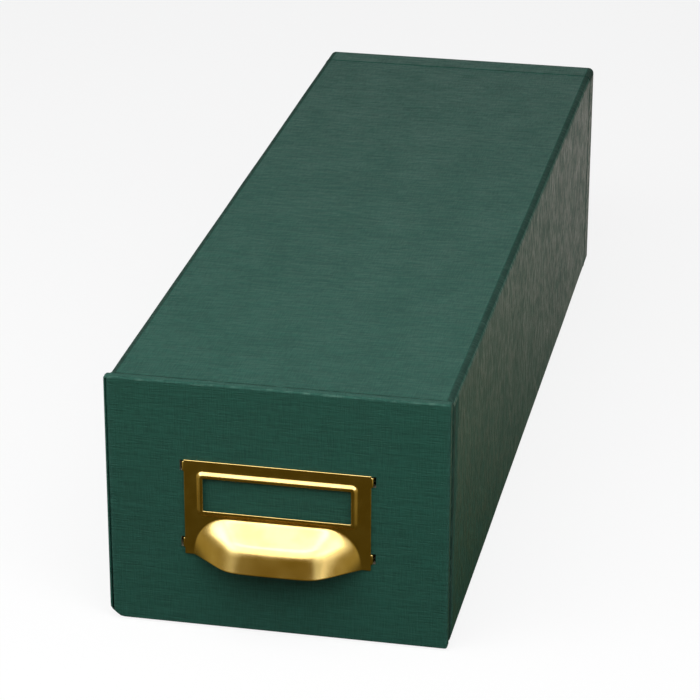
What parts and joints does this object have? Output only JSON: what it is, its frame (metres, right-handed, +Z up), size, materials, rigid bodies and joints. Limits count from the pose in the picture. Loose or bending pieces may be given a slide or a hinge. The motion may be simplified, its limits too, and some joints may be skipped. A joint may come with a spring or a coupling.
{
  "type": "card index box",
  "caption": "Long desktop card index box: cloth-covered board case with one full-length pull-out card drawer and a pressed brass label holder with finger hood.",
  "frame": {"origin": "middle of the flat base that the box stands on", "axes": "+Z up, +Y from the drawer front to the back of the case, +X to the right as seen from the front; the drawer pulls out along -Y"},
  "size_m": [0.1107, 0.3577, 0.0852],
  "materials": {
    "green_bookcloth": "woven bookcloth, satin",
    "greyboard": "raw greyboard",
    "green_paper": "plain covering paper",
    "lining_paper": "matt lining paper",
    "brass": "satin brass sheet"
  },
  "bodies": {
    "case": {"case_top_board": "greyboard", "case_bottom_board": "greyboard", "case_left_board": "greyboard", "case_right_board": "greyboard", "case_back_board": "greyboard", "case_wrap_cloth": "green_bookcloth", "case_back_cloth": "green_bookcloth", "case_base_cloth": "green_bookcloth"},
    "drawer": {"drawer_front_board": "greyboard", "drawer_inner_front_board": "greyboard", "drawer_left_board": "greyboard", "drawer_right_board": "greyboard", "drawer_back_board": "greyboard", "drawer_floor_board": "greyboard", "drawer_front_cloth": "green_bookcloth", "drawer_wrap_paper": "green_paper", "drawer_base_paper": "green_paper", "drawer_wall_lining": "lining_paper", "drawer_floor_lining": "lining_paper", "label_pull": "brass"}
  },
  "joints": [
    {"name": "drawer_slide", "type": "slide", "parent": "case", "child": "drawer", "axis": [0, -1, 0], "range_m": [0, 0.34]}
  ]
}
